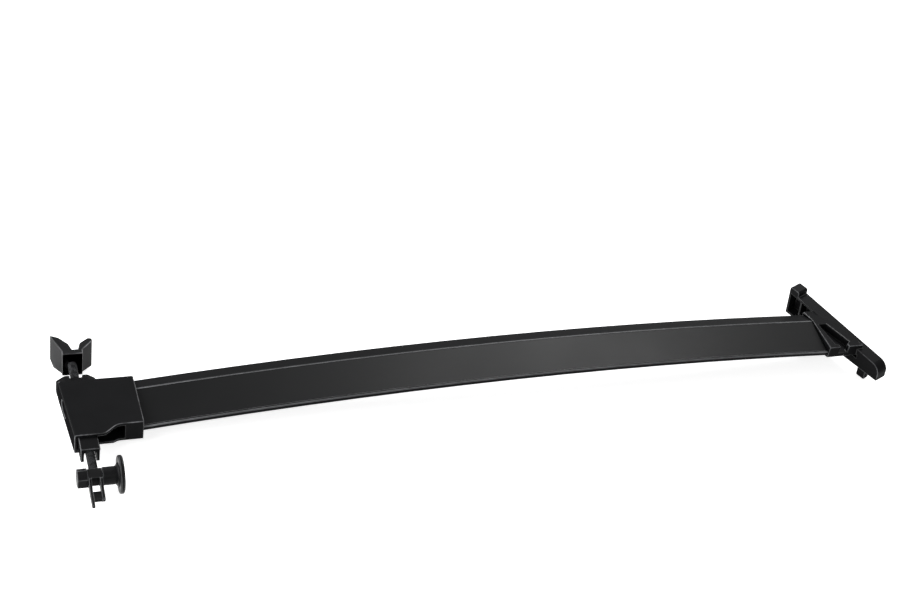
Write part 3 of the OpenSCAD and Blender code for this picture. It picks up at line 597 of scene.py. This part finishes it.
def knob_block():
    """The wing knob without its hollow: the outline with its own lower and upper edge at each corner."""
    x, z, _ = rod_axis()
    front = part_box("wing_knob")[0][1]
    made = bmesh.new()
    below, above = [], []
    for across, back, down, up in KNOB_OUTLINE:
        place = (x + across / MM_PER_M, front + back / MM_PER_M)
        below.append(made.verts.new((*place, z - down / MM_PER_M)))
        above.append(made.verts.new((*place, z + up / MM_PER_M)))
    join_rings(made, below, above)
    caps = [made.faces.new(below), made.faces.new(above)]
    made.normal_update()
    bmesh.ops.triangulate(made, faces=caps, ngon_method="EAR_CLIP")
    piece = new_piece("knob_shell", made, finish_of("wing_knob"), "knob")
    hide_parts("wing_knob")
    return piece


def hollow_knob():
    """The wing knob with the deep hollow in which the captive nut sits, and its bores."""
    piece = knob_block()
    x, z, rod_radius = rod_axis()
    knob_low, knob_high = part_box("wing_knob")
    stop_low, stop_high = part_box("rod_stop")
    front = knob_low[1]
    web = stop_low[1] - STOP_GAP
    left, right = x - FRONT_LEFT + SIDE_WALL, x + FRONT_RIGHT - SIDE_WALL
    bottom, top = z - FRONT_DOWN + BOTTOM_WALL, z + FRONT_UP - TOP_WALL
    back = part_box("knob_nut")[1][1] + HOLLOW_MORE
    cut(piece, block("hollow_tool", (left, front - CUT_OVER, bottom), (right, back, top)))
    rod_bore = rod_radius + ROD_PLAY
    cut(piece, rod_shaped("rod_tool", x, z, rod_bore, front + CUT_OVER, web + CUT_OVER))
    stop_bore = (stop_high[0] - stop_low[0]) / 2 + STOP_PLAY
    cut(piece, rod_shaped("stop_tool", x, z, stop_bore, web, knob_high[1] + CUT_OVER))
    # The walls of the hollow get the same painted shade as the captive nut
    piece.data.materials.append(finish_of("knob_nut"))
    for face in piece.data.polygons:
        middle = face.center
        across = left - WALL_NEAR < middle.x < right + WALL_NEAR
        upright = bottom - WALL_NEAR < middle.z < top + WALL_NEAR
        inside = front + 2 * WALL_NEAR < middle.y < back + WALL_NEAR
        if across and upright and inside:
            face.material_index = len(piece.data.materials) - 1
    return piece


def notched_jaw():
    """The far jaw with the notch between its lugs, through which the rod is seen."""
    made = bmesh.new()
    made.from_mesh(nodes["far_jaw"].data)
    bmesh.ops.remove_doubles(made, verts=made.verts, dist=SAME_PLACE)
    piece = new_piece("far_jaw_lugs", made, finish_of("far_jaw"), "bar")
    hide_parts("far_jaw")
    x, _, _ = rod_axis()
    rod_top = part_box("draw_rod")[1][2]
    low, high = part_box("far_jaw")
    corner = (x - JAW_NOTCH / 2, low[1] + JAW_BRIDGE, rod_top + JAW_OVER_ROD)
    opposite = (x + JAW_NOTCH / 2, high[1] + CUT_OVER, high[2] + CUT_OVER)
    cut(piece, block("notch_tool", corner, opposite))
    return piece


def disc_flare():
    """Cone between the spacer and the disc."""
    spacer_low, spacer_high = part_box("spacer")
    disc_low, disc_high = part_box("disc")
    y, z = (disc_low[1] + disc_high[1]) / 2, (disc_low[2] + disc_high[2]) / 2
    spacer_radius = (spacer_high[2] - spacer_low[2]) / 2
    face, sunk = disc_low[0], disc_low[0] + FLARE_SINK * FLARE_L
    outline = (
        (face - FLARE_L, spacer_radius - FLARE_TIP_IN),
        (face, spacer_radius + FLARE_RISE),
        (sunk, spacer_radius + FLARE_RISE),
        (sunk, spacer_radius - FLARE_BORE_IN),
    )
    made = bmesh.new()
    rings = rings_around(made, outline, lambda along, across, up: (along, y + across, z + up), FLARE_SIDES)
    for first, second in zip(rings, rings[1:] + rings[:1]):
        join_rings(made, first, second)
    new_piece("disc_flare", made, finish_of("disc"), "cross_bolt", smooth=True)


def shape_nodes():
    """Rounds the edges of the pieces and adds those that the CAD holds in a plainer form."""
    # Painted highlights on the rounded edges: lighter colours that stand in for the light the edges catch
    cast_highlight = painted_edge_highlight("painted_edge_highlight", 0.10, (0.120, 0.123, 0.130))
    steel_highlight = painted_edge_highlight("painted_steel_highlight", 0.0, (0.085, 0.087, 0.092))
    bar_highlight = painted_edge_highlight("painted_bar_highlight", 0.65, (0.210, 0.214, 0.222))
    for widths, finish in ((CAST_EDGES, cast_highlight), (STEEL_EDGES, steel_highlight)):
        for name, width in widths.items():
            soften(nodes[name], width, finish)
    soften(nodes["crossbar_beam"], BAR_EDGE, bar_highlight, BAR_EDGE_ANGLE, BAR_FLAT_ANGLE)
    soften(hollow_knob(), KNOB_EDGE, cast_highlight)
    soften(notched_jaw(), FAR_JAW_EDGE)
    disc_flare()
    threaded_rod()


# Studio
def seen_rays(tree):
    """1 for camera, glossy and transmission rays, 0 for the others."""
    path = tree.nodes.new("ShaderNodeLightPath")
    seen = path.outputs["Is Camera Ray"]
    for kind in ("Is Glossy Ray", "Is Transmission Ray"):
        both = tree.nodes.new("ShaderNodeMath")
        both.operation = "MAXIMUM"
        tree.links.new(seen, both.inputs[0])
        tree.links.new(path.outputs[kind], both.inputs[1])
        seen = both.outputs["Value"]
    return seen


def add_floor():
    """Pale floor under the part, which keeps the soft shadow."""
    bpy.ops.mesh.primitive_plane_add(size=FLOOR_SIZE, location=(0.0, 0.0, -FLOOR_DROP))
    floor = bpy.context.object
    floor.name = "floor"
    paper = Finish("floor_paper")
    glow = paper.times(seen_rays(paper.tree), FLOOR_GLOW)
    paper.link(glow, paper.shader.inputs["Emission Strength"])
    paper.set(FLOOR_COLOUR, FLOOR_ROUGHNESS, Emission_Color=WHITE, Specular_IOR_Level=0.0)
    floor.data.materials.append(paper.material)


def add_sky():
    """White to the camera and in reflections, softer as a light."""
    world = bpy.data.worlds.new("studio")
    bpy.context.scene.world = world
    world.use_nodes = True
    tree = world.node_tree
    tree.nodes.clear()
    mix = tree.nodes.new("ShaderNodeMixShader")
    for place, strength in ((1, SKY_LIGHT), (2, 1.0)):
        shade = tree.nodes.new("ShaderNodeBackground")
        shade.inputs["Color"].default_value = WHITE
        shade.inputs["Strength"].default_value = strength
        tree.links.new(shade.outputs["Background"], mix.inputs[place])
    tree.links.new(seen_rays(tree), mix.inputs["Fac"])
    out = tree.nodes.new("ShaderNodeOutputWorld")
    tree.links.new(mix.outputs["Shader"], out.inputs["Surface"])


def add_softbox(name, direction, distance, width, height, power):
    """Area light that looks at the part from a direction."""
    data = bpy.data.lights.new(name, "AREA")
    data.shape = "RECTANGLE"
    data.size = width
    data.size_y = height
    data.energy = power
    lamp = bpy.data.objects.new(name, data)
    bpy.context.scene.collection.objects.link(lamp)
    towards = Vector(direction).normalized()
    lamp.location = PART_MIDDLE + towards * distance
    lamp.rotation_mode = "QUATERNION"
    lamp.rotation_quaternion = (-towards).to_track_quat("-Z", "Y")


def add_camera():
    """Camera at the place and with the lens of the photograph."""
    data = bpy.data.cameras.new("photo_camera")
    data.lens = CAMERA_LENS
    data.sensor_width = CAMERA_SENSOR
    data.sensor_fit = "HORIZONTAL"
    data.clip_end = CAMERA_SIGHT
    camera = bpy.data.objects.new("photo_camera", data)
    bpy.context.scene.collection.objects.link(camera)
    turn = Matrix((CAMERA_RIGHT, -CAMERA_DOWN, -CAMERA_FORWARD)).transposed().to_4x4()
    camera.matrix_world = Matrix.Translation(CAMERA_AT) @ turn
    bpy.context.scene.camera = camera


dress_nodes()
shape_nodes()
add_floor()
add_sky()
for softbox in SOFTBOXES:
    add_softbox(*softbox)
add_camera()
bpy.context.scene.view_settings.view_transform = "Standard"
